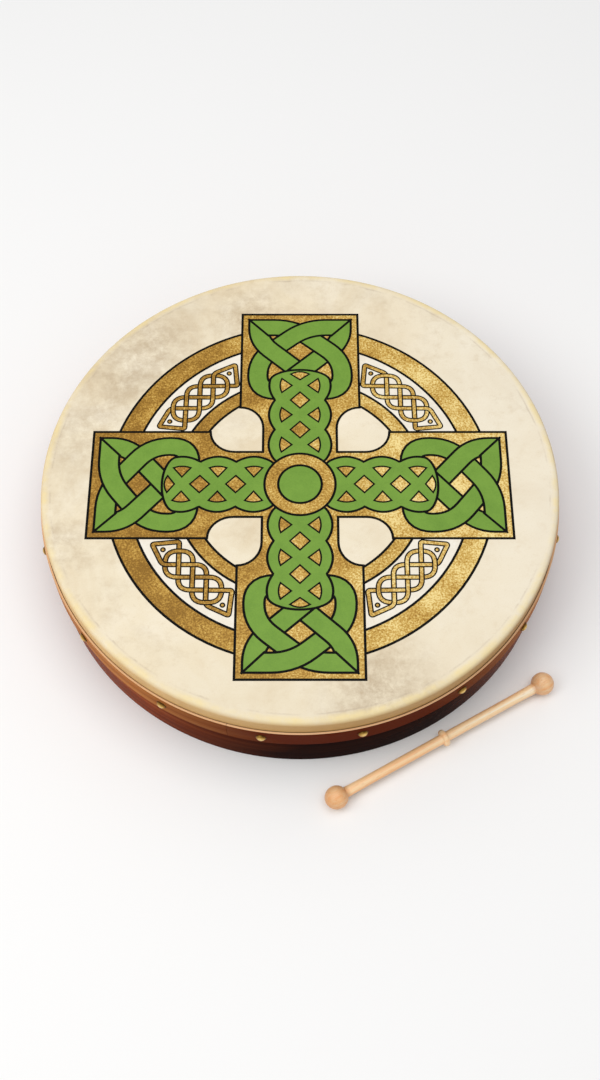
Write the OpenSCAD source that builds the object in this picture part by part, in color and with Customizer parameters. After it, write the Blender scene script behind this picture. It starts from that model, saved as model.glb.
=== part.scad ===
// Bodhran: an Irish frame drum lying on its back edge, with its tipper (beater) beside it.
// Millimetres, +Z up. The origin is on the drum's axis, in the plane of the back edge.
// Angles round the drum are measured from the front (-Y), growing towards +X.

/* [Drum] */
// Diameter over the tack band
drum_d = 457.2; // [440:0.1:475]
// Depth from the back edge to the top of the skin
drum_h = 89; // [80:1:110]
// Thickness of each of the two bent plies of the rim
ply_t = 5; // [4.5:0.5:6]
// Radius of the bearing edge, where the skin turns down
edge_r = 4.5; // [2:0.5:4.5]
// Rounding of the rim's back edge
back_edge_r = 1.5; // [0.5:0.5:2]
// Thickness of the goatskin
skin_t = 0.8; // [0.5:0.1:1.2]
// Depth of bare skin between the top of the drum and the band
skin_drop = 17.6; // [12:0.2:24]

/* [Band and tacks] */
// Height of the band that the tacks hold the skin down with
band_h = 23.6; // [20:0.2:30]
// Thickness of the band
band_t = 2; // [1.5:0.1:2.5]
// Diameter of a tack's domed head
tack_head_d = 9; // [7:0.5:11]
// Height of a tack's domed head
tack_head_h = 3; // [2:0.5:3.5]
// Diameter of a tack's shank
tack_shank_d = 1.6; // [1.2:0.1:2]
// Length of a tack's shank
tack_shank_l = 11; // [8:1:12]

/* [Crossbars] */
// Width of each bar
bar_w = 25; // [20:1:32]
// Thickness of each bar
bar_t = 14; // [10:1:18]
// Distance from the back edge to the bars
bar_inset = 12; // [8:1:18]
// Width of a block that holds a bar's end
block_w = 46; // [44:1:60]
// How far a block stands in from the rim
block_depth = 16; // [13:1:22]
// Height of a block above the bar's back face
block_h = 28; // [26:1:34]
// Diameter of a wood screw's shank
screw_d = 3.5; // [3:0.1:4]
// Diameter of a wood screw's countersunk head
screw_head_d = 7; // [6.5:0.1:8]

/* [Tipper] */
// Distance between the centres of the two balls
tipper_span = 207; // [190:1:220]
// Diameter of the balls
ball_d = 20; // [17:0.5:22]
// Diameter of the shaft along its middle
shaft_d = 8.5; // [7.5:0.5:10]
// Diameter of the shaft where it meets a ball
shaft_end_d = 9.6; // [8.5:0.1:11]
// Diameter of the finger ring
ring_d = 15.2; // [13:0.1:17]
// Thickness of the finger ring
ring_t = 5; // [4:0.5:7]
// Turn of the tipper from the X axis, where it lies
tipper_turn = 29.4; // [20:0.1:35]

/* [Hidden] */
$fn = 96;
eps = 0.01;
// How far a cutting shape runs past what it cuts
over = 1;
// Clearance round a tack or a screw in its hole
hole_gap = 0.05;
// Opening left where the ends of a bent strip meet
seam_gap = 0.3;
// Room between one bent layer and the next, as a glue line takes
layer_gap = 0.15;

drum_r = drum_d / 2;
skin_r = drum_r - band_t - layer_gap;
rim_r = skin_r - skin_t - layer_gap;
outer_ply_inner_r = rim_r - ply_t;
inner_ply_r = outer_ply_inner_r - layer_gap;
rim_inner_r = inner_ply_r - ply_t;
rim_h = drum_h - skin_t;
band_top = drum_h - skin_drop;
band_bottom = band_top - band_h;
band_edge_r = 0.4;
// The skin's hem ends a little above the band's lower edge, out of sight
hem = 2;

// The strips are bent round and meet end to end, at three different places
band_seam = -15.2;
outer_ply_seam = 100;
inner_ply_seam = 190;

// The tacks are nailed by eye, so their spacing is a little uneven
TACK_ANGLES = [13, 36, 56, 79, 102, 125, 148, 170, 193, 216, 239, 262, 284, 307, 330, 352];
tack_z = (band_top + band_bottom) / 2;
tack_tip_l = 3;
tack_point_d = 0.2;

// The bars' back faces, and where the half-lap's two halves meet
bar_z = bar_inset;
lap_z = bar_z + bar_t / 2;
// Play left at a bar's ends, between the bar and the rim
bar_end_gap = 0.5;
block_r = rim_inner_r - block_depth;
screw_l = 22;
lap_screw_l = bar_t - 2;
screw_head_h = 2;
screw_tip_l = 4;
screw_point_d = 0.3;
screw_slot_w = 0.9;
screw_slot_h = 0.9;
screw_x = rim_inner_r - block_depth / 2;
// The middle screw's slot, turned from the X axis as it came to rest
lap_screw_turn = 35;
BAR_END_TURNS = [0, 90, 180, 270];

ball_r = ball_d / 2;
// The ring sits a little nearer one end
ring_offset = 2.6;
// Length over which the shaft widens towards each ball
flare_l = 38;
// The middle of the tipper on the surface it lies on
tipper_x = 0.264 * drum_d;
tipper_y = -0.461 * drum_d;

function two_digits(n) = n < 10 ? str("0", n) : str(n);
function tack_name(i) = str("tack_", two_digits(i + 1));
function block_name(i) = str("bar_block_", i + 1);
function screw_name(i) = str("bar_screw_", i + 1);

TACK_NAMES = [for (i = [0 : len(TACK_ANGLES) - 1]) tack_name(i)];
BLOCK_NAMES = [for (i = [0 : len(BAR_END_TURNS) - 1]) block_name(i)];
SCREW_NAMES = [for (i = [0 : len(BAR_END_TURNS) - 1]) screw_name(i)];

// Turns what is drawn on the +X axis to an angle round the drum, measured from the front
module round_drum(angle) {
    rotate([0, 0, angle - 90]) children();
}

// Takes the top outer corner off a profile whose outer edge is at r and whose top is at h
module cut_top_corner(r, h, corner) {
    difference() {
        translate([r - corner, h - corner]) square(corner + over);
        translate([r - corner, h - corner]) circle(corner);
    }
}

// Takes the bottom outer corner off a profile whose outer edge is at r and whose bottom is at z
module cut_bottom_corner(r, z, corner) {
    difference() {
        translate([r - corner, z - over]) square(corner + over);
        translate([r - corner, z + corner]) circle(corner);
    }
}

// A solid of revolution that is open by one narrow seam, like a strip bent round end to end
module bent_strip(seam_angle, radius) {
    seam = seam_gap / radius * 180 / PI;
    round_drum(seam_angle) rotate([0, 0, seam / 2]) rotate_extrude(angle = 360 - seam) children();
}

// The holes that the tacks make through the band, the skin and the rim
module tack_holes() {
    for (angle = TACK_ANGLES)
        round_drum(angle)
            translate([drum_r - tack_shank_l - hole_gap, 0, tack_z])
                rotate([0, 90, 0]) cylinder(h = tack_shank_l + 2 * over, d = tack_shank_d + 2 * hole_gap);
}

module rim_outer_ply() {
    color("#4a1712")
        difference() {
            bent_strip(outer_ply_seam, rim_r)
                difference() {
                    translate([outer_ply_inner_r, 0]) square([ply_t, rim_h]);
                    cut_top_corner(rim_r, rim_h, edge_r);
                    cut_bottom_corner(rim_r, 0, back_edge_r);
                }
            tack_holes();
        }
}

module rim_inner_ply() {
    color("#5a2317")
        difference() {
            bent_strip(inner_ply_seam, rim_inner_r)
                difference() {
                    translate([rim_inner_r, 0]) square([ply_t, rim_h]);
                    // The inner corner of the back edge, rounded like the outer one
                    difference() {
                        translate([rim_inner_r - over, -over]) square(back_edge_r + over);
                        translate([rim_inner_r + back_edge_r, back_edge_r]) circle(back_edge_r);
                    }
                }
            tack_holes();
        }
}

// The skin lies flat over the bearing edge, turns down its rounding and runs under the band
module skin_head() {
    skirt_bottom = band_bottom + hem;
    inside_r = skin_r - skin_t;
    color("#f0e0c7")
        difference() {
            rotate_extrude()
                difference() {
                    translate([0, skirt_bottom]) square([skin_r, drum_h - skirt_bottom]);
                    cut_top_corner(skin_r, drum_h, edge_r + layer_gap + skin_t);
                    difference() {
                        translate([-over, skirt_bottom - over])
                            square([inside_r + over, rim_h - skirt_bottom + over]);
                        cut_top_corner(inside_r, rim_h, edge_r + layer_gap);
                    }
                }
            tack_holes();
        }
}

module tack_band() {
    color("#6d2d14")
        difference() {
            bent_strip(band_seam, drum_r)
                difference() {
                    translate([drum_r - band_t, band_bottom]) square([band_t, band_h]);
                    cut_top_corner(drum_r, band_top, band_edge_r);
                    cut_bottom_corner(drum_r, band_bottom, band_edge_r);
                }
            tack_holes();
        }
}

// A domed upholstery tack: the head is a cap of a ball, and the shank ends in a point
module tack(angle) {
    dome_r = (tack_head_d * tack_head_d / 4 + tack_head_h * tack_head_h) / (2 * tack_head_h);
    shaft_l = tack_shank_l - tack_tip_l;
    color("#b9923f")
        round_drum(angle)
            translate([drum_r, 0, tack_z])
                rotate([0, 90, 0]) {
                    intersection() {
                        translate([0, 0, tack_head_h - dome_r]) sphere(r = dome_r);
                        cylinder(h = tack_head_h + over, d = tack_head_d + over);
                    }
                    translate([0, 0, -shaft_l]) cylinder(h = shaft_l + eps, d = tack_shank_d);
                    translate([0, 0, -tack_shank_l]) cylinder(h = tack_tip_l, d1 = tack_point_d, d2 = tack_shank_d);
                }
}

// The room that a screw needs, drawn point up, with its head's face at z = 0
module screw_hole(length) {
    translate([0, 0, -over]) cylinder(h = over + eps, d = screw_head_d + 2 * hole_gap);
    cylinder(h = screw_head_h, d1 = screw_head_d + 2 * hole_gap, d2 = screw_d + 2 * hole_gap);
    cylinder(h = length + hole_gap, d = screw_d + 2 * hole_gap);
}

// A bar along X: its ends follow the rim, and its middle is drilled and cut by its own module
module plain_bar() {
    intersection() {
        translate([-drum_r, -bar_w / 2, bar_z]) cube([drum_d, bar_w, bar_t]);
        cylinder(h = drum_h, r = rim_inner_r - bar_end_gap);
    }
}

module bar_screw_holes() {
    for (x = [-screw_x, screw_x])
        translate([x, 0, bar_z]) screw_hole(screw_l);
    translate([0, 0, bar_z]) screw_hole(lap_screw_l);
}

// The two bars cross in a half-lap: this one keeps its back half
module crossbar_x() {
    color("#6b3a22")
        difference() {
            plain_bar();
            bar_screw_holes();
            translate([-bar_w / 2, -bar_w, lap_z]) cube([bar_w, 2 * bar_w, bar_t]);
        }
}

// The other bar keeps its front half
module crossbar_y() {
    color("#6b3a22")
        rotate([0, 0, 90])
            difference() {
                plain_bar();
                bar_screw_holes();
                translate([-bar_w / 2, -bar_w, bar_z - bar_t / 2]) cube([bar_w, 2 * bar_w, bar_t]);
            }
}

// A block glued inside the rim, notched over a bar's end
module bar_block(turn) {
    color("#5a2f1c")
        rotate([0, 0, turn])
            difference() {
                intersection() {
                    translate([block_r, -block_w / 2, bar_z]) cube([drum_r, block_w, block_h]);
                    cylinder(h = drum_h, r = rim_inner_r);
                }
                translate([block_r - over, -bar_w / 2, bar_z - over]) cube([drum_r, bar_w, bar_t + over]);
                translate([screw_x, 0, bar_z]) screw_hole(screw_l);
            }
}

// A countersunk wood screw, drawn point up, with its slotted face at z = 0
module wood_screw(length) {
    shank_l = length - screw_tip_l;
    color("#a8a59c")
        difference() {
            union() {
                cylinder(h = screw_head_h, d1 = screw_head_d, d2 = screw_d);
                cylinder(h = shank_l, d = screw_d);
                translate([0, 0, shank_l - eps]) cylinder(h = screw_tip_l, d1 = screw_d, d2 = screw_point_d);
            }
            translate([-screw_head_d, -screw_slot_w / 2, -over])
                cube([2 * screw_head_d, screw_slot_w, over + screw_slot_h]);
        }
}

module bar_screw(turn) {
    rotate([0, 0, turn]) translate([screw_x, 0, bar_z]) wood_screw(screw_l);
}

module lap_screw() {
    translate([0, 0, bar_z]) rotate([0, 0, lap_screw_turn]) wood_screw(lap_screw_l);
}

// Half of the turned outline: shaft, two balls and the finger ring, along Y
module tipper_outline() {
    half = tipper_span / 2;
    polygon([
        [0, -half],
        [shaft_end_d / 2, -half],
        [shaft_d / 2, -half + flare_l],
        [shaft_d / 2, half - flare_l],
        [shaft_end_d / 2, half],
        [0, half]
    ]);
    intersection() {
        union() {
            translate([0, -half]) circle(ball_r);
            translate([0, half]) circle(ball_r);
        }
        translate([0, -tipper_span]) square([ball_d, 2 * tipper_span]);
    }
    translate([0, ring_offset - ring_t / 2]) square([ring_d / 2 - ring_t / 2, ring_t]);
    translate([ring_d / 2 - ring_t / 2, ring_offset]) circle(ring_t / 2);
}

// The tipper is turned from one piece of wood and lies on its two balls
module tipper() {
    color("#f0c79a")
        translate([tipper_x, tipper_y, ball_r])
            rotate([0, 0, tipper_turn - 90])
                rotate([-90, 0, 0]) rotate_extrude() tipper_outline();
}

rim_outer_ply();
rim_inner_ply();
skin_head();
tack_band();
for (i = [0 : len(TACK_ANGLES) - 1])
    tack(TACK_ANGLES[i]);
crossbar_x();
crossbar_y();
for (i = [0 : len(BAR_END_TURNS) - 1]) {
    bar_block(BAR_END_TURNS[i]);
    bar_screw(BAR_END_TURNS[i]);
}
lap_screw();
tipper();
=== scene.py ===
import math
from itertools import combinations

import bpy
import numpy as np
from mathutils import Matrix, Vector, geometry, noise


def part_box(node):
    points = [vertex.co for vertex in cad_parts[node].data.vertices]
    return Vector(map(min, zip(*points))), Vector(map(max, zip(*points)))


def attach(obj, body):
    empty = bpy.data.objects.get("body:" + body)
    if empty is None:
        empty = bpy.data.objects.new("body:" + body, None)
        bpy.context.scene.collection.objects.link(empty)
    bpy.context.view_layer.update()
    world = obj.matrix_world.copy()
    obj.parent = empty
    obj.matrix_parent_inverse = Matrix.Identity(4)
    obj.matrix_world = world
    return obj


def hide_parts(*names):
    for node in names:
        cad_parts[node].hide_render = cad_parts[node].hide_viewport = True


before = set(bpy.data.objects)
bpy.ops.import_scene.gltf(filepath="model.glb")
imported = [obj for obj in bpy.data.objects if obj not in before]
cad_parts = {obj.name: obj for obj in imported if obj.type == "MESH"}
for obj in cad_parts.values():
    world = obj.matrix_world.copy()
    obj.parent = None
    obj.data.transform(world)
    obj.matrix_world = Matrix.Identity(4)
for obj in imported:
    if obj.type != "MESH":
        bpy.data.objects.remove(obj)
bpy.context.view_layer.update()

# Metres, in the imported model's frame: +Z up, the front is -Y, and the origin is on the drum's axis
# in the plane of its back edge. Angles round the drum start at the front and grow towards +X.

MM = 0.001
DRUM = "drum"
TIPPER = "tipper"

# ---- What the frame gives -------------------------------------------------------------------

SKIN_LOW, SKIN_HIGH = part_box("skin_head")
BAND_LOW, BAND_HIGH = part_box("tack_band")
OUTER_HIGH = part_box("rim_outer_ply")[1]
INNER_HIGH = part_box("rim_inner_ply")[1]

DRUM_R = BAND_HIGH.x
DRUM_TOP = SKIN_HIGH.z
SKIN_R = SKIN_HIGH.x
SKIN_HEM = SKIN_LOW.z
BAND_TOP = BAND_HIGH.z
BAND_BOTTOM = BAND_LOW.z
RIM_R = OUTER_HIGH.x
RIM_TOP = OUTER_HIGH.z
INNER_PLY_R = INNER_HIGH.x

# ---- What part.scad gives: lengths in metres, angles in degrees -----------------------------

PLY_T = 5 * MM
LAYER_GAP = 0.15 * MM
SEAM_GAP = 0.3 * MM
EDGE_R = 4.5 * MM
BACK_EDGE_R = 1.5 * MM
BAND_T = 2 * MM
SKIN_T = 0.8 * MM
OUTER_PLY_SEAM = 100
INNER_PLY_SEAM = 190
BAND_SEAM = -15.2
TACK_COUNT = 16
TACK_HEAD_R = 4.5 * MM
TACK_HEAD_H = 3 * MM
TACK_SHANK_R = 0.8 * MM
TACK_SHANK_L = 11 * MM
TACK_TIP_L = 3 * MM
TIPPER_SPAN = 207 * MM
BALL_R = 10 * MM
SHAFT_R = 4.25 * MM
SHAFT_END_R = 4.8 * MM
FLARE_L = 38 * MM
RING_R = 7.6 * MM
RING_T = 5 * MM
RING_OFFSET = 2.6 * MM
TIPPER_TURN = 29.4

INNER_R = INNER_PLY_R - PLY_T


def around(angle, r, z):
    """The point at that angle round the drum, in degrees from the front."""
    turn = math.radians(angle)
    return Vector((r * math.sin(turn), -r * math.cos(turn), z))


# ---- Materials ------------------------------------------------------------------------------


def linear(rgb):
    """A display colour, 0 to 255, as the scene-linear colour that nodes take."""
    out = []
    for value in rgb:
        v = value / 255
        out.append(v / 12.92 if v <= 0.04045 else ((v + 0.055) / 1.055) ** 2.4)
    return (*out, 1.0)


class Finish:
    """One procedural material, with short calls for the nodes that it is made of."""

    def __init__(self, name, **sockets):
        self.material = bpy.data.materials.new(name)
        self.material.use_nodes = True
        self.tree = self.material.node_tree
        self.shader = self.tree.nodes["Principled BSDF"]
        for socket, value in sockets.items():
            self.shader.inputs[socket.replace("_", " ")].default_value = value

    def node(self, kind, inputs=None, **settings):
        made = self.tree.nodes.new("ShaderNode" + kind)
        for setting, value in settings.items():
            setattr(made, setting, value)
        for socket, value in (inputs or {}).items():
            if isinstance(value, bpy.types.NodeSocket):
                self.tree.links.new(value, made.inputs[socket])
            else:
                made.inputs[socket].default_value = value
        return made

    def position(self):
        return self.node("TexCoord").outputs["Object"]

    def attribute(self, name):
        return self.node("Attribute", attribute_name=name)

    def scaled(self, vector, scale):
        made = self.node("VectorMath", {0: vector, 1: scale}, operation="MULTIPLY")
        return made.outputs["Vector"]

    def noise(self, vector, scale=1.0, detail=3.0, roughness=0.5, distortion=0.0):
        sockets = {"Vector": vector, "Scale": scale, "Detail": detail, "Roughness": roughness,
                   "Distortion": distortion}
        return self.node("TexNoise", sockets).outputs["Fac"]

    def spread(self, value, low, high, to_low=0.0, to_high=1.0):
        sockets = {"Value": value, "From Min": low, "From Max": high, "To Min": to_low, "To Max": to_high}
        return self.node("MapRange", sockets, clamp=True).outputs["Result"]

    def math(self, operation, a, b=0.0):
        return self.node("Math", {0: a, 1: b}, operation=operation).outputs["Value"]

    def mix(self, amount, a, b):
        made = self.node("Mix", data_type="RGBA", clamp_factor=True)
        for index, value in ((0, amount), (6, a), (7, b)):
            if isinstance(value, bpy.types.NodeSocket):
                self.tree.links.new(value, made.inputs[index])
            else:
                made.inputs[index].default_value = value
        return made.outputs[2]

    def ramp(self, value, stops):
        made = self.node("ValToRGB", {"Fac": value})
        elements = made.color_ramp.elements
        elements[0].position, elements[0].color = stops[0][0], linear(stops[0][1])
        elements[1].position, elements[1].color = stops[-1][0], linear(stops[-1][1])
        for place, colour in stops[1:-1]:
            elements.new(place).color = linear(colour)
        return made.outputs["Color"]

    def color(self, value):
        self.tree.links.new(value, self.shader.inputs["Base Color"])

    def roughness(self, value):
        self.tree.links.new(value, self.shader.inputs["Roughness"])

    def bump(self, height, distance, strength=1.0):
        made = self.node("Bump", {"Height": height, "Distance": distance, "Strength": strength})
        self.tree.links.new(made.outputs["Normal"], self.shader.inputs["Normal"])


# Where round the drum the painted shade on the rim and the band is darkest
FRONT_SHADE_ANGLE = 14


def wood(name, stops, rough=(0.3, 0.5), streak=90.0, bump=0.1 * MM, seed=0.0, darker=None, **sockets):
    """Wood whose grain runs along x of the mesh attribute "grain". Stops are its colours, dark to light,
    and darker is painted shade: the colour it is turned to towards the front of the drum."""
    finish = Finish(name, **sockets)
    grain = finish.attribute("grain").outputs["Vector"]
    shifted = finish.node("VectorMath", {0: grain, 1: (seed, seed, seed)}, operation="ADD").outputs["Vector"]
    along = finish.scaled(shifted, (1.6, streak, streak))
    bands = finish.noise(along, detail=4, roughness=0.6, distortion=0.4)
    fibres = finish.noise(finish.scaled(shifted, (14, streak * 9, streak * 9)), detail=2, roughness=0.6)
    clouds = finish.noise(finish.scaled(shifted, (6, 22, 22)), detail=2)
    tone = finish.math("ADD", finish.math("MULTIPLY", bands, 0.5), finish.math("MULTIPLY", fibres, 0.28))
    tone = finish.math("ADD", tone, finish.math("MULTIPLY", clouds, 0.22))
    base = finish.ramp(finish.spread(tone, 0.36, 0.64), stops)
    # Painted shade: the colour turns darker towards the front of the drum
    if darker:
        toward = {0: finish.position(), 1: around(FRONT_SHADE_ANGLE, 1 / RIM_R, 0)}
        facing = finish.node("VectorMath", toward, operation="DOT_PRODUCT").outputs["Value"]
        facing = finish.math("ADD", facing, finish.math("MULTIPLY", clouds, 0.16))
        base = finish.mix(finish.spread(facing, 0.72, 1.04, 0, 0.95), base, linear(darker))
    finish.color(base)
    finish.roughness(finish.spread(fibres, 0.3, 0.7, *rough))
    finish.bump(fibres, bump, 0.5)
    return finish


# Where the hide is smudged: angle round the drum, share of its radius, size, strength
SMUDGES = (
    (18, 0.9, 64 * MM, 0.9),
    (-72, 0.95, 40 * MM, 0.5),
    (-104, 0.86, 44 * MM, 0.5),
    (-122, 0.84, 46 * MM, 0.6),
    (-137, 0.87, 50 * MM, 0.65),
    (-165, 0.8, 40 * MM, 0.7),
)


def hide_cream(finish, place, x, y, clouds):
    """The hide's own colour: clouded cream, paler to the right and duller at the front."""
    cream = finish.ramp(finish.spread(clouds, 0.32, 0.7), (
        (0.0, (227, 211, 181)), (0.45, (237, 225, 199)), (1.0, (244, 235, 215))))
    warm = finish.spread(finish.noise(place, 8.5, 3, 0.5), 0.45, 0.75)
    cream = finish.mix(finish.math("MULTIPLY", warm, 0.35), cream, linear((238, 217, 178)))
    cream = finish.mix(finish.spread(x, 20 * MM, SKIN_R, 0, 0.5), cream, linear((242, 235, 220)))
    return finish.mix(finish.spread(y, -80 * MM, -SKIN_R, 0, 0.4), cream, linear((226, 212, 184)))


def hide_stains(finish, cream, place, x, y, blots):
    """Brown stains, heavier towards the back left as along a spine, then smudges, spots and pores."""
    spots = finish.noise(place, 85, 5, 0.75, 0.2)
    follicles = finish.noise(place, 900, 2, 0.6)
    lean = finish.math("SUBTRACT", finish.math("MULTIPLY", y, 0.9), finish.math("MULTIPLY", x, 0.9))
    patchy = finish.math("ADD", finish.math("ADD", blots, lean), finish.math("MULTIPLY", spots, 0.7))
    broken = finish.math("ADD", finish.math("MULTIPLY", blots, 0.5), finish.math("MULTIPLY", spots, 1.1))
    stain = finish.math("MULTIPLY", finish.spread(patchy, 0.86, 1.5), 0.5)
    cream = finish.mix(stain, cream, linear((182, 160, 128)))
    for angle, r, size, strength in SMUDGES:
        away = {0: place, 1: around(angle, r * SKIN_R, DRUM_TOP)}
        away = finish.node("VectorMath", away, operation="DISTANCE").outputs["Value"]
        near = finish.spread(away, 0, size, strength, 0)
        smudge = finish.math("MULTIPLY", near, finish.spread(broken, 0.62, 1.0))
        cream = finish.mix(smudge, cream, linear((174, 152, 122)))
    cream = finish.mix(finish.spread(spots, 0.52, 0.72, 0, 0.22), cream, linear((214, 192, 158)))
    cream = finish.mix(finish.spread(follicles, 0.56, 0.76, 0, 0.22), cream, linear((200, 176, 142)))
    return cream, follicles


def hide_edge(finish, cream, place, blots):
    """Oilier and yellower where it turns over the rim, inside a painted grey shade line where the hide
    leaves the bearing edge.
    """
    yellow_from = SKIN_R - 8 * MM
    yellow_to = SKIN_R - 4 * MM
    shade_line_r = SKIN_R - 8.5 * MM
    shade_line_half = 1.2 * MM
    r = finish.node("VectorMath", {0: finish.scaled(place, (1, 1, 0))}, operation="LENGTH").outputs["Value"]
    ragged = finish.math("ADD", r, finish.math("MULTIPLY", finish.math("SUBTRACT", blots, 0.5), 4 * MM))
    turned = finish.spread(ragged, yellow_from, yellow_to)
    yellowed = finish.math("MULTIPLY", turned, finish.spread(blots, 0.38, 0.62, 0.1, 0.75))
    cream = finish.mix(yellowed, cream, linear((243, 221, 160)))
    # Painted shade: a thin grey line where the hide leaves the bearing edge
    off_line = finish.math("ABSOLUTE", finish.math("SUBTRACT", ragged, shade_line_r))
    painted_shade_line = finish.spread(off_line, 0.0, shade_line_half, 0.4, 0)
    painted_shade_line = finish.math("MULTIPLY", painted_shade_line, finish.spread(blots, 0.45, 0.62))
    return finish.mix(painted_shade_line, cream, linear((176, 156, 132)))


def hide_side(finish, cream, x, z, blots):
    """Down the side it is tan, with painted light and shade on it: paler to the left, browner to the right.
    """
    # Painted light and shade: the tan is lighter to the left and darker to the right, as if lit from the
    # left
    tan = finish.mix(finish.spread(x, -SKIN_R, SKIN_R), linear((230, 188, 120)), linear((166, 120, 50)))
    tan = finish.mix(finish.spread(blots, 0.4, 0.7, 0, 0.35), tan, linear((170, 122, 62)))
    dropped = finish.spread(z, DRUM_TOP - 5 * MM, DRUM_TOP - 0.9 * MM, 0.97, 0)
    return finish.mix(dropped, cream, tan)


def skin_material():
    """Scraped goatskin: satin and lightly pored, coloured by the steps above."""
    finish = Finish("goatskin", Specular_IOR_Level=0.3, Sheen_Weight=0.05, Sheen_Roughness=0.5)
    place = finish.position()
    parts = finish.node("SeparateXYZ", {"Vector": place}).outputs
    x, y, z = parts["X"], parts["Y"], parts["Z"]
    clouds = finish.noise(place, 14, 5, 0.62, 0.5)
    blots = finish.noise(finish.scaled(place, (1.0, 1.25, 1.0)), 27, 6, 0.72, 0.3)
    cream = hide_cream(finish, place, x, y, clouds)
    cream, follicles = hide_stains(finish, cream, place, x, y, blots)
    cream = hide_edge(finish, cream, place, blots)
    finish.color(hide_side(finish, cream, x, z, blots))
    finish.roughness(finish.spread(clouds, 0.3, 0.7, 0.5, 0.66))
    grain = finish.math("ADD", finish.math("MULTIPLY", clouds, 3.0), follicles)
    finish.bump(grain, 0.05 * MM, 0.5)
    return finish


def printed_gold():
    """Gold ink with a fine speckle, a little darker to the left."""
    finish = Finish("printed_gold", Specular_IOR_Level=0.3)
    place = finish.position()
    x = finish.node("SeparateXYZ", {"Vector": place}).outputs["X"]
    speckle = finish.noise(place, 620, 2, 0.7)
    patches = finish.noise(place, 42, 3, 0.6)
    tone = finish.math("ADD", finish.math("MULTIPLY", speckle, 0.62), finish.math("MULTIPLY", patches, 0.38))
    tone = finish.math("ADD", tone, finish.math("MULTIPLY", x, 0.6))
    finish.color(finish.ramp(finish.spread(tone, 0.36, 0.66), (
        (0.0, (138, 98, 22)), (0.35, (178, 134, 50)), (0.65, (208, 170, 84)), (1.0, (244, 220, 148)))))
    finish.roughness(finish.spread(speckle, 0.3, 0.7, 0.42, 0.62))
    finish.bump(speckle, 0.03 * MM, 0.4)
    return finish


def printed_ink(name, colour, darker, rough, shine=0.3):
    """Flat ink whose colour varies only a little, as it took on the hide."""
    finish = Finish(name, Specular_IOR_Level=shine)
    place = finish.position()
    take = finish.noise(place, 60, 4, 0.65)
    fine = finish.noise(place, 700, 2, 0.6)
    tone = finish.math("ADD", finish.math("MULTIPLY", take, 0.6), finish.math("MULTIPLY", fine, 0.4))
    finish.color(finish.ramp(finish.spread(tone, 0.35, 0.6), ((0.0, darker), (1.0, colour))))
    finish.roughness(finish.spread(fine, 0.3, 0.7, *rough))
    finish.bump(fine, 0.02 * MM, 0.4)
    return finish


def brass():
    """Domed brass: brighter and smoother at the top of the dome, browner towards its edge."""
    finish = Finish("tack_brass", Metallic=1.0)
    place = finish.position()
    dome_centre = finish.attribute("dome_centre").outputs["Fac"]
    spots = finish.noise(place, 420, 3, 0.7)
    mask = finish.math("ADD", dome_centre, finish.math("MULTIPLY", finish.math("SUBTRACT", spots, 0.5), 0.9))
    finish.color(finish.ramp(finish.spread(mask, 0.1, 0.9), (
        (0.0, (92, 62, 28)), (0.5, (182, 140, 66)), (1.0, (228, 194, 118)))))
    finish.roughness(finish.spread(mask, 0.1, 0.9, 0.55, 0.24))
    finish.bump(spots, 0.06 * MM, 0.4)
    return finish


def steel():
    """Zinc-plated screws: bright, with dull spots."""
    finish = Finish("screw_steel", Metallic=1.0)
    place = finish.position()
    spots = finish.noise(place, 380, 4, 0.7)
    finish.color(finish.ramp(spots, ((0.3, (118, 112, 98)), (0.7, (196, 193, 184)))))
    finish.roughness(finish.spread(spots, 0.3, 0.7, 0.5, 0.28))
    finish.bump(spots, 0.04 * MM, 0.4)
    return finish


def beech():
    """Pale turned beech: peach streaks along the shaft, small flecks, and darker end grain on the balls."""
    finish = wood("tipper_beech", (
        (0.0, (246, 174, 110)), (0.4, (255, 204, 150)), (0.75, (255, 224, 178)), (1.0, (255, 240, 212))),
        rough=(0.34, 0.5), streak=260.0, bump=0.05 * MM, seed=0.37)
    grain = finish.attribute("grain").outputs["Vector"]
    flecks = finish.noise(finish.scaled(grain, (160, 1500, 1500)), detail=1)
    base = finish.shader.inputs["Base Color"].links[0].from_socket
    base = finish.mix(finish.spread(flecks, 0.6, 0.72, 0, 0.3), base, linear((196, 126, 74)))
    end = finish.attribute("end_grain").outputs["Fac"]
    base = finish.mix(finish.spread(end, 0, 1, 0, 0.68), base, linear((204, 132, 68)))
    finish.color(base)
    return finish


# darker here is the painted shade at the front of the drum
RIM_WOOD = wood("rim_maroon", (
    (0.0, (92, 34, 14)), (0.5, (138, 62, 30)), (1.0, (176, 96, 54))),
    rough=(0.16, 0.26), streak=110.0, bump=0.03 * MM, seed=0.11, darker=(13, 3, 3), IOR=1.02)
INNER_WOOD = wood("rim_inside", (
    (0.0, (96, 56, 36)), (0.5, (124, 76, 48)), (1.0, (152, 98, 64))),
    rough=(0.45, 0.6), streak=110.0, bump=0.08 * MM, seed=0.53)
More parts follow.
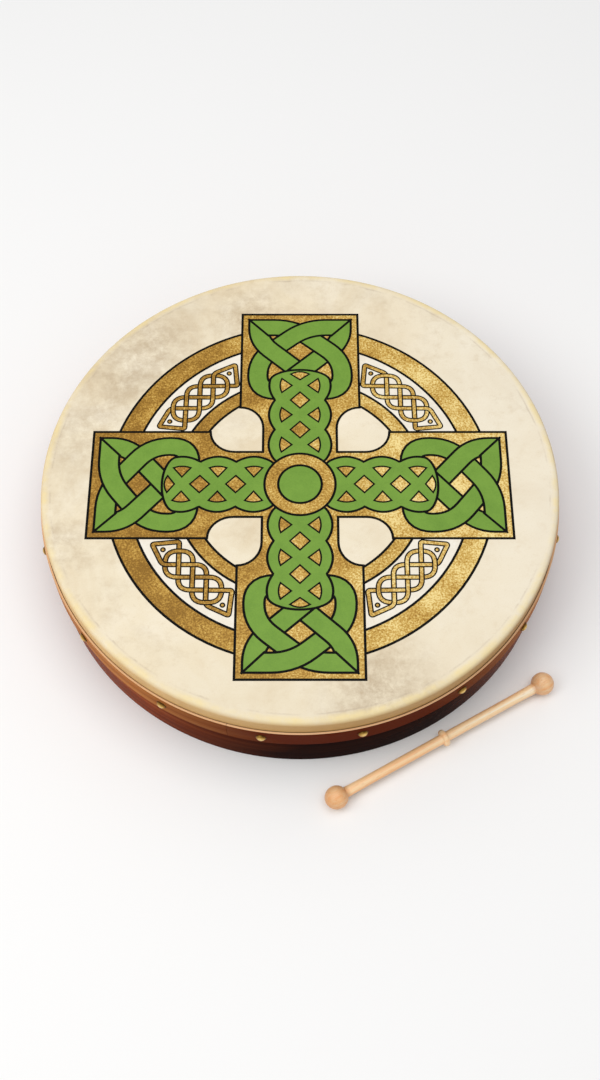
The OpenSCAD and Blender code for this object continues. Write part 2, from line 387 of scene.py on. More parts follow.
# darker here is the painted shade at the front of the drum
BAND_WOOD = wood("band_red_brown", (
    (0.0, (146, 82, 38)), (0.5, (180, 112, 56)), (1.0, (206, 140, 82))),
    rough=(0.3, 0.45), streak=240.0, bump=0.06 * MM, seed=0.29, darker=(86, 26, 12), IOR=1.035)
BAND_EDGE = wood("band_raw_edge", (
    (0.0, (206, 156, 110)), (0.5, (226, 180, 134)), (1.0, (240, 202, 160))),
    rough=(0.55, 0.7), streak=500.0, bump=0.06 * MM, seed=0.71)
BAR_WOOD = wood("crossbar_stain", (
    (0.0, (84, 42, 24)), (0.5, (112, 62, 36)), (1.0, (140, 84, 52))),
    rough=(0.4, 0.55), streak=130.0, bump=0.08 * MM, seed=0.83)
BLOCK_WOOD = wood("block_stain", (
    (0.0, (74, 36, 22)), (0.5, (98, 52, 32)), (1.0, (124, 72, 46))),
    rough=(0.42, 0.58), streak=130.0, bump=0.08 * MM, seed=0.19)
BEECH = beech()
SKIN = skin_material()
BRASS = brass()
STEEL = steel()
INKS = {
    "pale": printed_ink("printed_pale", (243, 237, 224), (232, 222, 204), (0.5, 0.62)),
    "gold": printed_gold(),
    "green": printed_ink("printed_green", (118, 158, 57), (106, 146, 49), (0.42, 0.56)),
    "line": printed_ink("printed_black", (10, 9, 8), (4, 4, 4), (0.4, 0.55), shine=0.08),
}


# ---- Meshes ---------------------------------------------------------------------------------


def make_piece(name, vertices, faces, finishes, body, replaced=(), attributes=None, sharp=40):
    """A mesh object in the row frame that rides on a body, with its finishes and attributes."""
    mesh = bpy.data.meshes.new(name)
    mesh.from_pydata([tuple(v) for v in vertices], [], faces)
    mesh.update()
    for attribute, values in (attributes or {}).items():
        vector = isinstance(values[0], (tuple, Vector))
        layer = mesh.attributes.new(attribute, "FLOAT_VECTOR" if vector else "FLOAT", "POINT")
        for item, value in zip(layer.data, values):
            if vector:
                item.vector = value
            else:
                item.value = value
    for finish in finishes:
        mesh.materials.append(finish.material)
    piece = bpy.data.objects.new(name, mesh)
    bpy.context.scene.collection.objects.link(piece)
    mesh.shade_smooth()
    mesh.set_sharp_from_angle(angle=math.radians(sharp))
    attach(piece, body)
    if replaced:
        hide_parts(*replaced)
    return piece


def arc(center_r, center_z, radius, start, end, steps):
    """Profile points (r, z) on an arc, its angles in degrees from the +r direction towards +z."""
    points = []
    for i in range(steps + 1):
        turn = math.radians(start + (end - start) * i / steps)
        points.append((center_r + radius * math.cos(turn), center_z + radius * math.sin(turn)))
    return points


def along_line(start, end, steps):
    """Profile points between two points, without the last."""
    return [(start[0] + (end[0] - start[0]) * i / steps, start[1] + (end[1] - start[1]) * i / steps)
            for i in range(steps)]


def revolve(profile, segments, start=0.0, sweep=360.0, closed=True, change=None):
    """Turns a profile of (r, z) round Z. Points on the axis become poles. change moves each point.
    Returns the vertices, the faces, and each vertex's angle in degrees."""
    nearly = 1e-9
    full = abs(sweep - 360) < nearly
    rings = segments if full else segments + 1
    vertices, angles, index = [], [], {}
    for j, (r, z) in enumerate(profile):
        for i in range(1 if r < nearly else rings):
            angle = start + sweep * i / segments
            point = around(angle, r, z)
            if change:
                point = change(point, angle)
            index[i, j] = len(vertices)
            vertices.append(point)
            angles.append(angle)

    def vertex(i, j):
        return index.get((i % rings if full else i, j), index.get((0, j)))

    faces = []
    count = len(profile)
    for j in range(count if closed else count - 1):
        k = (j + 1) % count
        for i in range(segments):
            corners = [vertex(i, j), vertex(i + 1, j), vertex(i + 1, k), vertex(i, k)]
            kept = [c for n, c in enumerate(corners) if c not in corners[:n]]
            if len(kept) > 2:
                faces.append(kept)
    if not full:
        faces.append([vertex(0, j) for j in range(count)])
        faces.append([vertex(segments, j) for j in reversed(range(count))])
    return vertices, faces, angles


def bent_grain(vertices, angles, radius):
    """Grain that runs round the drum: x is the length along the strip."""
    out = []
    for point, angle in zip(vertices, angles):
        out.append((math.radians(angle) * radius, point.z, math.hypot(point.x, point.y)))
    return out


def strip(name, profile, seam, radius, finishes, replaced, segments=288, change=None):
    """A strip of wood bent round the drum, its two ends meeting at a seam."""
    gap = math.degrees(SEAM_GAP / radius)
    vertices, faces, angles = revolve(profile, segments, seam + gap / 2, 360 - gap, change=change)
    grain = bent_grain(vertices, angles, radius)
    return make_piece(name, vertices, faces, finishes, DRUM, replaced, {"grain": grain})


# ---- The rim's two plies, and the band ------------------------------------------------------


def rim_pieces():
    """The two plies, each a strip whose back edge and, outside, bearing edge are rounded."""
    outer_inner_r = RIM_R - PLY_T
    outer = (
        arc(RIM_R - BACK_EDGE_R, BACK_EDGE_R, BACK_EDGE_R, -90, 0, 5)
        + arc(RIM_R - EDGE_R, RIM_TOP - EDGE_R, EDGE_R, 0, 90, 8)
        + [(outer_inner_r, RIM_TOP), (outer_inner_r, 0)]
    )
    strip("rim_outer", outer, OUTER_PLY_SEAM, RIM_R, [RIM_WOOD], ["rim_outer_ply"])
    inner = (
        [(INNER_PLY_R, 0), (INNER_PLY_R, RIM_TOP), (INNER_R, RIM_TOP)]
        + arc(INNER_R + BACK_EDGE_R, BACK_EDGE_R, BACK_EDGE_R, 180, 270, 5)
    )
    strip("rim_inner", inner, INNER_PLY_SEAM, INNER_R, [INNER_WOOD], ["rim_inner_ply"])


def band_piece():
    """The band: its upper edge wavers a little and is raw, unstained wood."""
    corner = 0.35 * MM
    inside = DRUM_R - BAND_T
    profile = (
        [(inside, BAND_BOTTOM)]
        + arc(DRUM_R - corner, BAND_BOTTOM + corner, corner, -90, 0, 3)
        + along_line((DRUM_R, BAND_BOTTOM + 2 * corner), (DRUM_R, BAND_TOP - 2 * corner), 6)
        + arc(DRUM_R - corner, BAND_TOP - corner, corner, 0, 90, 3)
        + [(inside + 0.4 * MM, BAND_TOP), (inside, BAND_TOP - 2 * MM)]
    )
    waver = 0.35 * MM

    def uneven(point, angle):
        if point.z > (BAND_TOP + BAND_BOTTOM) / 2:
            turn = math.radians(angle)
            point.z += waver * (noise.noise(Vector((3 * math.sin(turn), 3 * math.cos(turn), 5.0))) - 0.6)
        return point

    piece = strip("band", profile, BAND_SEAM, DRUM_R, [BAND_WOOD, BAND_EDGE], ["tack_band"],
                  change=uneven)
    raw = 1
    for polygon in piece.data.polygons:
        if polygon.normal.z > 0.5:
            polygon.material_index = raw


# ---- The skin -------------------------------------------------------------------------------

# The print's thickness, which keeps its top in the plane of the frame's highest point
INK_T = 0.08 * MM
SKIN_TOP = DRUM_TOP - INK_T
# The roundings of the hide's inner and outer faces, where it turns over the bearing edge
HIDE_INNER_TURN = EDGE_R + LAYER_GAP
HIDE_OUTER_TURN = HIDE_INNER_TURN + SKIN_T


def skin_piece():
    """The hide: flat over the drum, rounded over the bearing edge, and down under the band."""
    corner = HIDE_OUTER_TURN
    under = HIDE_INNER_TURN
    inside_r = SKIN_R - SKIN_T
    inside_top = SKIN_TOP - SKIN_T
    flat_r = SKIN_R - corner
    fold_depth = 0.22 * MM
    profile = (
        along_line((0.0, SKIN_TOP), (flat_r, SKIN_TOP), 12)
        + arc(flat_r, SKIN_TOP - corner, corner, 90, 0, 14)
        + along_line((SKIN_R, SKIN_TOP - corner - 1 * MM), (SKIN_R, SKIN_HEM), 10)
        + [(SKIN_R, SKIN_HEM), (inside_r, SKIN_HEM)]
        + along_line((inside_r, SKIN_HEM + 2 * MM), (inside_r, inside_top - under), 5)
        + arc(inside_r - under, inside_top - under, under, 0, 90, 8)
        + along_line((inside_r - under - 1 * MM, inside_top), (0.0, inside_top), 5)
        + [(0.0, inside_top)]
    )

    def creased(point, angle):
        """Where the wet hide was pulled down by the tacks it dries in slight folds."""
        r = math.hypot(point.x, point.y)
        if BAND_TOP < point.z < SKIN_TOP - 2 * MM and r > SKIN_R - SKIN_T / 2:
            turn = math.radians(angle)
            fold = noise.noise(Vector((22 * math.sin(turn), 22 * math.cos(turn), point.z * 25)))
            depth = math.sin(math.pi * (point.z - BAND_TOP) / (SKIN_TOP - 2 * MM - BAND_TOP))
            pull = fold_depth * depth * (fold - 0.6)
            point.x += point.x / r * pull
            point.y += point.y / r * pull
        return point

    vertices, faces, _ = revolve(profile, 360, closed=False, change=creased)
    return make_piece("skin", vertices, faces, [SKIN], DRUM, ["skin_head"], sharp=50)


# ---- The print: a ringed cross with plain interlace ------------------------------------------
# Its sizes are in millimetres in the plane of the skin, from the drum's axis.

LINE = 2.2
ARM_END = 183.0
BLOCK_HALF = 53.5
BLOCK_FROM = 79.5
WAIST_HALF = 32.7
ARMPIT_FROM = 57.5
OUTER_RING = (149.2, 168.9)
INNER_RING = (97.2, 110.1)
BOSS_R = 31.0
BOSS_GREEN_R = 19.0
PLAIT_PITCH = 31.5
PLAIT_CUSP = 24.6
PLAIT_NARROW = 22.3
PLAIT_BULGE = 5.5
PLAIT_LAST = 108.0
PLAIT_CAP = 12.5
GAP_LINE = 1.5
RIBBON = 15.4
STRIP_RIBBON = 2.7
STRIP_LINE = 1.2
STRIP_R = 128.0
STRIP_STEP = 11.8
# Bare gold between the end blocks' ribbons and their edges
BLOCK_ROOM_SIDE = 5.2
BLOCK_ROOM_END = 5.0
# How far towards its next crossing a ribbon may be redrawn over another, as a share of the way
CROSSING_ROOM = 0.55
# The print sits a little nearer the front than the drum's middle
PRINT_OFFSET_Y = -5.0


def rounded(points, closed, steps=7):
    """The line through (x, y, ease) points: each corner is eased by a curve that starts and ends
    that far from it, and an ease of 0 leaves it sharp."""
    out = []
    count = len(points)
    for i, (x, y, ease) in enumerate(points):
        corner = Vector((x, y))
        if ease == 0 or (not closed and i in (0, count - 1)):
            out.append(corner)
            continue
        before = Vector(points[i - 1][:2]) - corner
        after = Vector(points[(i + 1) % count][:2]) - corner
        a = corner + before.normalized() * ease
        b = corner + after.normalized() * ease
        for k in range(steps + 1):
            t = k / steps
            out.append(a * (1 - t) ** 2 + corner * (2 * t * (1 - t)) + b * t * t)
    return out


def cross_2d(a, b):
    return a.x * b.y - a.y * b.x


class Artwork:
    """Flat shapes in the order they are painted: each covers what is below it."""

    def __init__(self):
        self.points = []
        self.shapes = []
        self.inks = []
        self.turn = 0

    def shape(self, points, ink):
        """A filled outline, turned to the arm being drawn."""
        turned = Matrix.Rotation(math.radians(self.turn), 2)
        placed = [turned @ Vector(p) for p in points]
        area = sum(cross_2d(placed[i - 1], placed[i]) for i in range(len(placed)))
        if abs(area) < 1e-6:
            return
        if area < 0:
            placed.reverse()
        first = len(self.points)
        self.points.extend(placed)
        self.shapes.append(list(range(first, first + len(placed))))
        self.inks.append(ink)

    def stroke(self, points, width, ink, closed=False):
        """A line of that width along the points, mitred at its corners."""
        kept = [points[0]]
        for point in points[1:]:
            if (point - kept[-1]).length > 1e-4:
                kept.append(point)
        if closed and (kept[0] - kept[-1]).length < 1e-4:
            kept.pop()
        count = len(kept)
        sides = []
        for i, point in enumerate(kept):
            first = closed or i > 0
            last = closed or i < count - 1
            along_in = (point - kept[i - 1]).normalized() if first else None
            along_out = (kept[(i + 1) % count] - point).normalized() if last else None
            along_in = along_in or along_out
            along_out = along_out or along_in
            normal = Vector((-along_in.y - along_out.y, along_in.x + along_out.x)).normalized()
            reach = width / 2 / max(0.3, normal.dot(Vector((-along_in.y, along_in.x))))
            sides.append((point + normal * reach, point - normal * reach))
        for i in range(count if closed else count - 1):
            a, b = sides[i], sides[(i + 1) % count]
            self.shape((a[0], a[1], b[1], b[0]), ink)

    def outlined(self, points, ink, width=LINE):
        """A filled outline with a black line round it."""
        self.shape(points, ink)
        self.stroke([Vector(p) for p in points], width, "line", closed=True)

    def ring(self, inner, outer, ink, segments=120):
        for i in range(segments):
            corners = []
            for r, step in ((inner, i), (outer, i), (outer, i + 1), (inner, i + 1)):
                turn = 2 * math.pi * step / segments
                corners.append((r * math.cos(turn), r * math.sin(turn)))
            self.shape(corners, ink)

    def circle(self, center, r, ink, segments=72):
        turns = [2 * math.pi * i / segments for i in range(segments)]
        self.shape([(center[0] + r * math.cos(t), center[1] + r * math.sin(t)) for t in turns], ink)

    def weave(self, strands, width, line, ink):
        """Ribbons that pass over and under each other in turn. A strand is (points, closed)."""
        for points, closed in strands:
            self.stroke(points, width + 2 * line, "line", closed)
        for points, closed in strands:
            self.stroke(points, width, ink, closed)
        for strand, at, sine, before, after in over_passes(strands):
            points, closed = strands[strand]
            reach = (width / 2 + line) * (1 + math.sqrt(1 - sine * sine)) / sine + line
            piece = part_of(points, closed, at - min(reach, before), at + min(reach, after))
            self.stroke(piece, width + 2 * line, "line")
            self.stroke(piece, width, ink)


def segments_of(points, closed):
    """Each straight bit of a strand as (start, end, length before its start), and the whole length."""
    out = []
    run = 0.0
    for i in range(len(points) if closed else len(points) - 1):
        a, b = points[i], points[(i + 1) % len(points)]
        if (b - a).length > 1e-6:
            out.append((a, b, run))
            run += (b - a).length
    return out, run


def part_of(points, closed, start, end):
    """The part of a strand between two lengths along it."""
    bits, total = segments_of(points, closed)
    laps = (-total, 0.0, total) if closed else (0.0,)
    out = []
    for lap in laps:
        for a, b, run in bits:
            length = (b - a).length
            low = max(start, run + lap)
            high = min(end, run + lap + length)
            if high - low > 1e-4:
                if not out:
                    out.append(a.lerp(b, (low - run - lap) / length))
                out.append(a.lerp(b, (high - run - lap) / length))
    return out


def crossing_visits(strands):
    """Both strands' visits to each crossing: (strand, length along it, sine of the angle, crossing)."""
    # Bits that meet at a slighter angle than this, by its sine, don't count as a crossing
    slightest = 0.2
    bits = []
    for number, (points, closed) in enumerate(strands):
        for a, b, run in segments_of(points, closed)[0]:
            bits.append((number, a, b, run))
    visits = []
    for crossing, ((n1, a, b, run1), (n2, c, d, run2)) in enumerate(combinations(bits, 2)):
        if b == c or a == d:
            continue
        meet = geometry.intersect_line_line_2d(a, b, c, d)
        if meet is None:
            continue
        sine = abs(cross_2d((b - a).normalized(), (d - c).normalized()))
        if sine < slightest:
            continue
        visits.append((n1, run1 + (meet - a).length, sine, crossing))
        visits.append((n2, run2 + (meet - c).length, sine, crossing))
    return visits


def over_passes(strands):
    """Where each strand goes over another: (strand, length along it, sine of the angle, before, after).
    The last two are how far it may be drawn over each way, short of its neighbouring crossings."""
    visits = crossing_visits(strands)
    passes = []
    over_before = {}
    for number in range(len(strands)):
        own = sorted((v for v in visits if v[0] == number), key=lambda v: v[1])
        # A strand goes over and under in turn, and under where another already goes over
        shift = 0
        for i, visit in enumerate(own):
            if visit[3] in over_before:
                shift = i + over_before[visit[3]]
                break
        for i, (_, at, sine, crossing) in enumerate(own):
            before = at - own[i - 1][1] if i > 0 else math.inf
            after = own[i + 1][1] - at if i + 1 < len(own) else math.inf
            over_before[crossing] = (i + shift) % 2 == 0
            if over_before[crossing]:
                passes.append((number, at, sine, CROSSING_ROOM * before, CROSSING_ROOM * after))
    return passes


def plait_half(v):
    """Half the plait's width at that distance along an arm: bulges between cusps."""
    phase = (v - PLAIT_CUSP) / PLAIT_PITCH % 1
    return PLAIT_NARROW + PLAIT_BULGE * math.sin(math.pi * phase) ** 0.8


def draw_rings(art):
    art.ring(INNER_RING[1], OUTER_RING[0], "pale")
    for low, high in (OUTER_RING, INNER_RING):
        art.ring(low, high, "gold")
        for r in (low, high):
            art.ring(r - LINE / 2, r + LINE / 2, "line")


def draw_strip(art):
    """A small plait between the rings. Its two ribbons keep to the lines of a square grid that lies
    at 45 degrees to the strip: one turns a corner with a dot in it at each end, the other a round loop.
    Their places are in steps of the grid, each with its corner's ease in millimetres."""
    dot_r = 2.5
    dot_gold_r = 1.2

    def on_drum(x, y):
        return ((x - y) * STRIP_STEP / math.sqrt(2), STRIP_R + (x + y) * STRIP_STEP / math.sqrt(2))

    def ribbon(points):
        return rounded([(*on_drum(x, y), ease) for x, y, ease in points], True), True

    cornered = ribbon([
        (1, 1, 10), (-2.85, 1.05, 2), (-2.65, 3, 2), (-1, 2.2, 4),
        (-1, -1, 10), (2.2, -1, 4), (3, -2.65, 2), (1.05, -2.85, 2)])
    looped = ribbon([
        (0, 2, 11), (-2.1, 2, 11), (-2.1, 0, 11), (2, 0, 11), (2, -2.1, 11), (0, -2.1, 11)])
    art.weave([cornered, looped], STRIP_RIBBON, STRIP_LINE, "gold")
    for x, y in ((-2.2, 2.2), (2.2, -2.2)):
        art.circle(on_drum(x, y), dot_r, "line", 24)
        art.circle(on_drum(x, y), dot_gold_r, "gold", 24)


def draw_cross(art):
    """The cross's own shape: four arms with square end blocks and rounded armpits."""
    outline = []
    for turn in range(0, 360, 90):
        arm = Matrix.Rotation(math.radians(turn), 2)
        half = [(WAIST_HALF, WAIST_HALF), (WAIST_HALF, ARMPIT_FROM)]
        for k in range(1, 9):
            swing = math.radians(90 * k / 9)
            half.append((
                BLOCK_HALF - (BLOCK_HALF - WAIST_HALF) * math.cos(swing),
                ARMPIT_FROM + (BLOCK_FROM - ARMPIT_FROM) * math.sin(swing)))
        half += [(BLOCK_HALF, BLOCK_FROM), (BLOCK_HALF, ARM_END)]
        mirrored = [(-u, v) for u, v in reversed(half[1:])]
        outline += [arm @ Vector(p) for p in half + mirrored]
    art.turn = 0
    art.outlined(outline, "gold")


def draw_terminal(art):
    """Two mirrored ribbons: each crosses the arm, folds at an outer corner and runs to the far shoulder."""
    half = RIBBON / 2 + LINE
    side = BLOCK_HALF - BLOCK_ROOM_SIDE - half
    top = ARM_END - BLOCK_ROOM_END - half
    ribbon = [
        (-17, 103, 0), (side, top - 15.5, 15), (side, top, 0),
        (6, top, 18), (-side, 132, 17), (-side, 98, 16), (-12, 97, 0)]
    right = rounded(ribbon, False)
    left = [Vector((-p.x, p.y)) for p in right]
    art.weave([(right, False), (left, False)], RIBBON, LINE, "green")
    for sign in (1, -1):
        fold = [Vector((sign * (side + half), top + half)), Vector((sign * (side - half), top - half))]
        art.stroke(fold, LINE, "line")


def plait_outline():
    """One closed line: up the right side, over the rounded end, and down the left."""
    steps = 64
    side = []
    for i in range(steps + 1):
        v = PLAIT_CUSP + (PLAIT_LAST - PLAIT_CUSP) * i / steps
        side.append((plait_half(v), v))
    end_half = plait_half(PLAIT_LAST)
    for k in range(1, 12):
        swing = math.radians(90 * k / 12)
        side.append((end_half * math.cos(swing), PLAIT_LAST + PLAIT_CAP * math.sin(swing)))
    return side + [(0, PLAIT_LAST + PLAIT_CAP)] + [(-u, v) for u, v in reversed(side)] + [(0, 0)]


def draw_plait(art):
    """The green plait along an arm, seen as one shape with gold gaps in it."""
    art.outlined(plait_outline(), "green")
    # Diamonds along the middle
    half = 8.6
    for row in (1, 2):
        v = PLAIT_CUSP + PLAIT_PITCH * row
        art.outlined([(0, v - half), (half, v), (0, v + half), (-half, v)], "gold", GAP_LINE)
    # Triangles at the sides, whose outer line bulges
    base_u, bulge, tip_u, base_half = 16.4, 1.6, 7.2, 7.6
    for row in (0, 1, 2):
        v = PLAIT_CUSP + PLAIT_PITCH * (row + 0.5)
        for sign in (1, -1):
            base = []
            for k in range(7):
                t = k / 6 * 2 - 1
                base.append((sign * (base_u + bulge * (1 - t * t)), v + base_half * t))
            art.outlined(base + [(sign * tip_u, v)], "gold", GAP_LINE)
    # One more in the rounded end, its point towards the boss
    point_v = PLAIT_CUSP + PLAIT_PITCH * 3 - 9.5
    base_v, bulge, base_half = point_v + 6.2, 2.6, 8.4
    base = []
    for k in range(7):
        t = 1 - k / 3
        base.append((base_half * t, base_v + bulge * (1 - t * t)))
    art.outlined([(0, point_v)] + base, "gold", GAP_LINE)


def draw_boss(art):
    art.turn = 0
    for r, ink in ((BOSS_R + LINE / 2, "line"), (BOSS_R - LINE / 2, "gold"),
                   (BOSS_GREEN_R + LINE / 2, "line"), (BOSS_GREEN_R - LINE / 2, "green")):
        art.circle((0, 0), r, ink, 96)


def drawn():
    """The whole print, painted from the bottom layer up."""
    art = Artwork()
    draw_rings(art)
    for turn in (45, 135, 225, 315):
        art.turn = turn
        draw_strip(art)
    draw_cross(art)
    for turn in (0, 90, 180, 270):
        art.turn = turn
        draw_terminal(art)
        draw_plait(art)
    draw_boss(art)
    return art


def topmost_ink(places, art):
    """The ink of the last shape painted over each place, or None."""
    x, y = places[:, 0], places[:, 1]
    top = np.full(len(places), -1)
    for number, shape in enumerate(art.shapes):
        outline = np.array([art.points[i] for i in shape])
        low, high = outline.min(axis=0), outline.max(axis=0)
        near = np.nonzero((x > low[0]) & (x < high[0]) & (y > low[1]) & (y < high[1]))[0]
        inside = np.zeros(len(near), bool)
        for i in range(len(outline)):
            (ax, ay), (bx, by) = outline[i - 1], outline[i]
            if ay != by:
                spans = (ay > y[near]) != (by > y[near])
                inside ^= spans & (x[near] < (bx - ax) * (y[near] - ay) / (by - ay) + ax)
        top[near[inside]] = number
    return [art.inks[number] if number >= 0 else None for number in top]


def film(ink, faces, points):
    """The areas of one ink as a thin closed solid: a top, a bottom, and walls along its outlines."""
    edges = {(face[i - 1], face[i]) for face in faces for i in range(3)}
    used = sorted({corner for face in faces for corner in face})
    top = {corner: i for i, corner in enumerate(used)}
    count = len(used)
    plan = [(points[c].x * MM, (points[c].y + PRINT_OFFSET_Y) * MM) for c in used]
    vertices = [Vector((x, y, DRUM_TOP)) for x, y in plan]
    vertices += [Vector((x, y, SKIN_TOP)) for x, y in plan]
    solid = [[top[c] for c in face] for face in faces]
    solid += [[top[c] + count for c in reversed(face)] for face in faces]
    for face in faces:
        for i in range(3):
            a, b = face[i - 1], face[i]
            if (b, a) not in edges:
                solid.append([top[a], top[a] + count, top[b] + count, top[b]])
    return make_piece("print_" + ink, vertices, solid, [INKS[ink]], DRUM, sharp=20)


def print_pieces():
    """Cuts the artwork into areas of one ink each, and makes a film of each ink."""
    art = drawn()
    borders = [(shape[i - 1], shape[i]) for shape in art.shapes for i in range(len(shape))]
    points, _, triangles, *_ = geometry.delaunay_2d_cdt(art.points, borders, [], 0, 1e-4, False)
    corners = np.array(points)[np.array(triangles)]
    painted = topmost_ink(corners.mean(axis=1), art)
    by_ink = {ink: [] for ink in INKS}
    for triangle, ink in zip(triangles, painted):
        if ink:
            by_ink[ink].append(tuple(triangle))
    return [film(ink, faces, points) for ink, faces in by_ink.items()]


# ---- Tacks ----------------------------------------------------------------------------------

# How far a tack's head may lean, in radians
MOST_LEAN = 0.05


def tack_pieces():
    """Each tack: a low dome with a thin turned rim, a flat back, and a shank that ends in a point."""
    dome_r = (TACK_HEAD_R ** 2 + TACK_HEAD_H ** 2) / (2 * TACK_HEAD_H)
    lip = 0.35 * MM
    dome = []
    for i in range(15):
        r = (TACK_HEAD_R - lip / 2) * i / 14
        dome.append((r, TACK_HEAD_H - dome_r + math.sqrt(dome_r ** 2 - r * r)))
    profile = dome + [(TACK_HEAD_R, lip), (TACK_HEAD_R, lip / 3), (TACK_HEAD_R - lip, 0.0),
                      (TACK_SHANK_R, 0.0), (TACK_SHANK_R, -(TACK_SHANK_L - TACK_TIP_L)),
                      (0.0, -TACK_SHANK_L)]
    vertices, faces, _ = revolve(profile, 40, closed=False)
    # Brighter and smoother towards the dome's top, browner towards its edge
    dome_centre = [1 - min(1, math.hypot(v.x, v.y) / TACK_HEAD_R) ** 2.2 for v in vertices]
    for number in range(1, TACK_COUNT + 1):
        node = f"tack_{number:02d}"
        low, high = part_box(node)
        # The shank's point is what is nearest the drum's axis
        point = min((Vector((v.co.x, v.co.y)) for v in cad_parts[node].data.vertices),
                    key=lambda p: p.length)
        out = Vector((point.x, point.y, 0)).normalized()
        # Hammered by eye: each head leans by a degree or two
        lean_x = MOST_LEAN * noise.noise(Vector((number, 0.5, 0)))
        lean_y = MOST_LEAN * noise.noise(Vector((0.5, number, 0)))
        turn = out.to_track_quat("Z", "Y").to_matrix().to_4x4()
        place = Matrix.Translation(out * DRUM_R + Vector((0, 0, (low.z + high.z) / 2)))
        head_bend = Matrix.Rotation(lean_x, 4, "X") @ Matrix.Rotation(lean_y, 4, "Y")
        placed = [place @ turn @ ((head_bend @ v) if v.z > 0 else v) for v in vertices]
        make_piece(f"tack_head_{number:02d}", placed, faces, [BRASS], DRUM, [node],
                   {"dome_centre": dome_centre}, sharp=50)


# ---- Tipper ---------------------------------------------------------------------------------


def shaft_at(z):
    """The shaft's radius at that distance from the middle: it widens towards each ball."""
    toward = max(0.0, (abs(z) - (TIPPER_SPAN / 2 - FLARE_L)) / FLARE_L)
    return SHAFT_R + (SHAFT_END_R - SHAFT_R) * toward ** 1.5


def shaft_between(low, high, steps=24):
    """The shaft's outline between two distances from the middle, without its ends."""
    heights = [low + (high - low) * i / steps for i in range(1, steps)]
    return [(shaft_at(z), z) for z in heights]


def tipper_profile():
    """Two balls, a shaft that widens towards each, and a finger ring, as one outline from pole to pole,
    with a small cove on each side of the ring."""
    half = TIPPER_SPAN / 2
    cove = 0.4 * MM
    lip_r = SHAFT_R + 0.25 * MM
    cove_r = SHAFT_R * 1.01
    neck_r = SHAFT_END_R * 0.985
    meet = math.degrees(math.asin(neck_r / BALL_R))
    low_ball = arc(0, -half, BALL_R, -90, 90 - meet, 30)
    high_ball = arc(0, half, BALL_R, -90 + meet, 90, 30)
    ring_low = RING_OFFSET - RING_T / 2
    ring_high = RING_OFFSET + RING_T / 2
    profile = (
        low_ball
        + shaft_between(low_ball[-1][1], ring_low - cove)
        + [(cove_r, ring_low - cove), (lip_r, ring_low)]
        + arc(RING_R - RING_T / 2, RING_OFFSET, RING_T / 2, -90, 90, 12)
        + [(lip_r, ring_high), (cove_r, ring_high + cove)]
        + shaft_between(ring_high + cove, high_ball[0][1])
        + high_ball
    )
    profile[0] = (0.0, profile[0][1])
    profile[-1] = (0.0, profile[-1][1])
    return profile


def end_grain(v):
    """How much end grain shows at a point of the turned shape: most at the balls' poles and necks."""
    for sign in (-1, 1):
        from_ball = v - Vector((0, 0, sign * TIPPER_SPAN / 2))
        if from_ball.length < BALL_R * 1.02:
            return 0.4 + 0.6 * min(1.0, abs(from_ball.z) / BALL_R)
    return 0.0


def tipper_piece():
    """Turned beech, laid down along its own axis where the CAD tipper lies."""
    vertices, faces, _ = revolve(tipper_profile(), 64, closed=False)
    attributes = {
        "grain": [(v.z, v.x, v.y) for v in vertices],
        "end_grain": [end_grain(v) for v in vertices],
    }
    low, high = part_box("tipper")
    middle = (low + high) / 2
    turn = math.radians(TIPPER_TURN)
    axis = Vector((math.cos(turn), math.sin(turn), 0))
    laid = axis.to_track_quat("Z", "Y").to_matrix().to_4x4()
    place = Matrix.Translation(Vector((middle.x, middle.y, BALL_R))) @ laid
    make_piece("tipper_turned", [place @ v for v in vertices], faces, [BEECH], TIPPER,
               ["tipper"], attributes, sharp=50)


# ---- CAD nodes whose shape stays ------------------------------------------------------------


def finish_node(name, finish):
    """Gives a CAD node its material."""
    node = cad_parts[name]
    node.data.materials.clear()
    node.data.materials.append(finish.material)


def set_grain(name, order):
    """Gives a CAD node's mesh the grain attribute: order says which axes are its x, y and z."""
    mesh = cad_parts[name].data
    layer = mesh.attributes.new("grain", "FLOAT_VECTOR", "POINT")
    for item, vertex in zip(layer.data, mesh.vertices):
        item.vector = [vertex.co[axis] for axis in order]


def frame_nodes():
    for name, order in (("crossbar_x", (0, 1, 2)), ("crossbar_y", (1, 0, 2))):
        set_grain(name, order)
        finish_node(name, BAR_WOOD)
    for number in (1, 2, 3, 4):
        across = (1, 0, 2) if number % 2 else (0, 1, 2)
        set_grain(f"bar_block_{number}", across)
        finish_node(f"bar_block_{number}", BLOCK_WOOD)
        finish_node(f"bar_screw_{number}", STEEL)
    finish_node("lap_screw", STEEL)


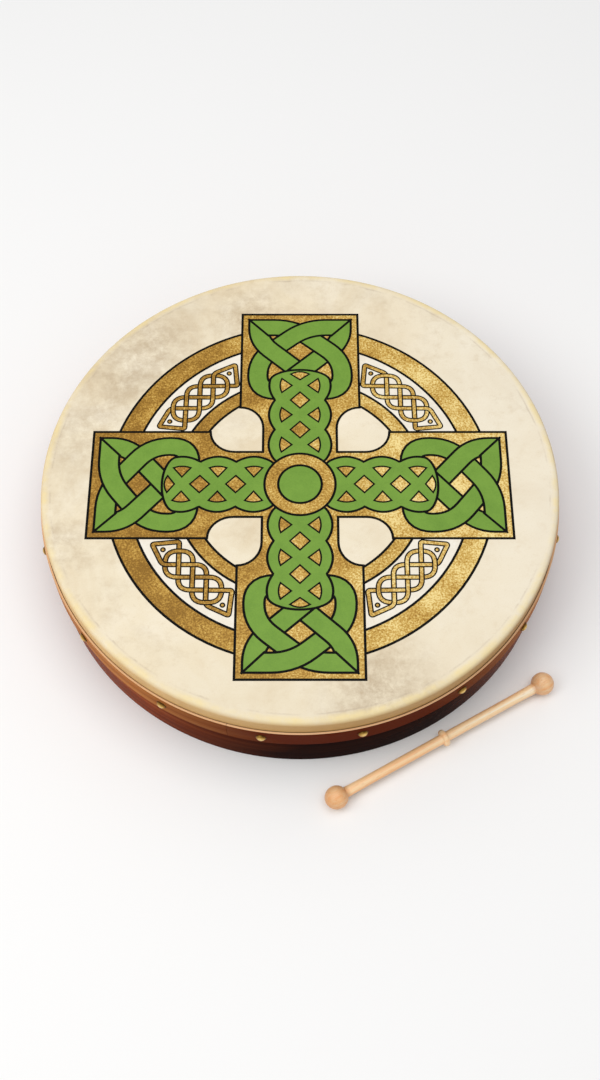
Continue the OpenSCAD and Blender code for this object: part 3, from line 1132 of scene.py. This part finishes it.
# ---- Room, lights and camera ----------------------------------------------------------------


def floor():
    size = 3.0
    mesh = bpy.data.meshes.new("floor")
    corners = [(-size, -size, 0), (size, -size, 0), (size, size, 0), (-size, size, 0)]
    mesh.from_pydata(corners, [], [(0, 1, 2, 3)])
    finish = Finish("floor_pale", Specular_IOR_Level=0.0, Roughness=1.0)
    finish.shader.inputs["Base Color"].default_value = (0.93, 0.93, 0.93, 1)
    mesh.materials.append(finish.material)
    piece = bpy.data.objects.new("floor", mesh)
    bpy.context.scene.collection.objects.link(piece)


def area_light(name, place, aim, size, power, colour=(1, 1, 1)):
    light = bpy.data.lights.new(name, "AREA")
    light.shape = "DISK"
    light.size = size
    light.energy = power
    light.color = colour
    lamp = bpy.data.objects.new(name, light)
    lamp.location = place
    lamp.rotation_euler = (Vector(aim) - Vector(place)).to_track_quat("-Z", "Y").to_euler()
    bpy.context.scene.collection.objects.link(lamp)


def lights():
    world = bpy.data.worlds.new("studio")
    bpy.context.scene.world = world
    world.use_nodes = True
    sky = world.node_tree.nodes["Background"]
    sky.inputs["Color"].default_value = (1.0, 1.0, 1.0, 1)
    sky.inputs["Strength"].default_value = 0.5
    area_light("key", (-1.5, -0.6, 2.0), (0, 0, 0.05), 1.6, 20, (1.0, 0.985, 0.96))
    area_light("top", (0.15, -0.1, 2.6), (0, 0, 0), 2.4, 26)


def camera():
    """The photograph's view: from the front, looking down at the skin."""
    place = (0, -0.5991, 1.1111)
    off_straight_down = math.radians(27.8)
    data = bpy.data.cameras.new("camera")
    data.lens = 45.15
    data.sensor_width = 36.0
    data.clip_start = 0.05
    view = bpy.data.objects.new("camera", data)
    view.location = place
    view.rotation_euler = (off_straight_down, 0, 0)
    bpy.context.scene.collection.objects.link(view)
    bpy.context.scene.camera = view


# ---- The scene ------------------------------------------------------------------------------

bpy.context.scene.view_settings.view_transform = "Standard"
camera()
lights()
floor()
rim_pieces()
band_piece()
skin_piece()
print_pieces()
tack_pieces()
tipper_piece()
frame_nodes()
